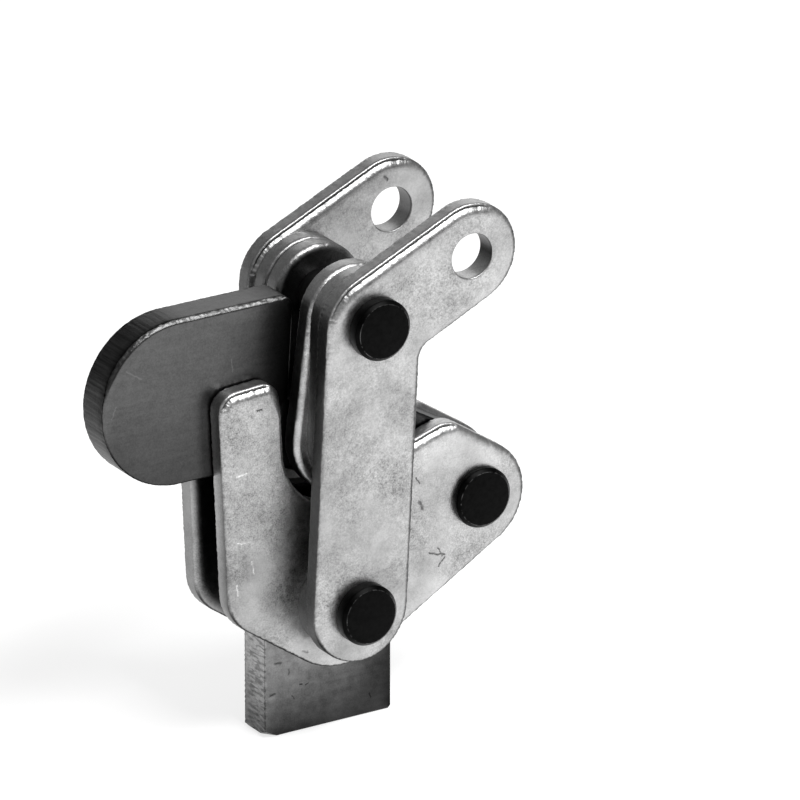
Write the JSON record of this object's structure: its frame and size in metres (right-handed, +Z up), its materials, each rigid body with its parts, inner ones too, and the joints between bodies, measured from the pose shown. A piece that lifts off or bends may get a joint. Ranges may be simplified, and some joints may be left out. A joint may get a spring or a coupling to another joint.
{
  "type": "toggle clamp",
  "caption": "Heavy weld-on toggle clamp: a twin-plate handle yoke drives a thick clamping arm through toggle links, shown locked.",
  "frame": {"origin": "centre of the stem's foot, where it is welded to the fixture", "axes": "+X towards the handle sockets and away from the arm's pad, +Y across the plates, +Z up the stem"},
  "size_m": [0.1223, 0.0524, 0.1418],
  "materials": {
    "zinc_plate": "dull zinc plated",
    "mill_steel": "bare mill finish",
    "black_oxide": "matte black oxide",
    "ground_steel": "ground"
  },
  "bodies": {
    "base": {"base_stem": "mill_steel", "body_plate_near": "zinc_plate", "body_plate_far": "zinc_plate", "handle_pivot_pin": "black_oxide", "arm_pivot_pin": "black_oxide", "spacer_washer_near": "zinc_plate", "spacer_washer_far": "zinc_plate"},
    "handle_yoke": {"handle_plate_near": "zinc_plate", "handle_plate_far": "zinc_plate", "toggle_pin": "black_oxide"},
    "toggle_links": {"inner_link_near": "zinc_plate", "inner_link_far": "zinc_plate", "outer_link_near": "zinc_plate", "outer_link_far": "zinc_plate", "toggle_sleeve": "ground_steel", "link_pin_near": "black_oxide", "link_pin_far": "black_oxide"},
    "arm": {"clamping_arm": "mill_steel", "arm_pivot_bush": "ground_steel", "arm_link_bush": "ground_steel", "link_pin_centre": "black_oxide"}
  },
  "joints": [
    {"name": "handle_hinge", "type": "hinge", "parent": "base", "child": "handle_yoke", "pos_m": [0, 0, 0.0374], "axis": [0, 1, 0], "range_deg": [0, 55]},
    {"name": "arm_hinge", "type": "hinge", "parent": "base", "child": "arm", "pos_m": [0.0422, 0, 0.0562], "axis": [0, 1, 0], "range_deg": [0, 60.07]},
    {"name": "link_hinge", "type": "hinge", "parent": "handle_yoke", "child": "toggle_links", "pos_m": [0.00405, 0, 0.11469], "axis": [0, 1, 0], "range_deg": [0, 82.14]}
  ],
  "couplings": [
    {"joint": "arm_hinge", "follows": "handle_hinge", "ratio": 1.0922},
    {"joint": "link_hinge", "follows": "handle_hinge", "ratio": 1.4933}
  ]
}
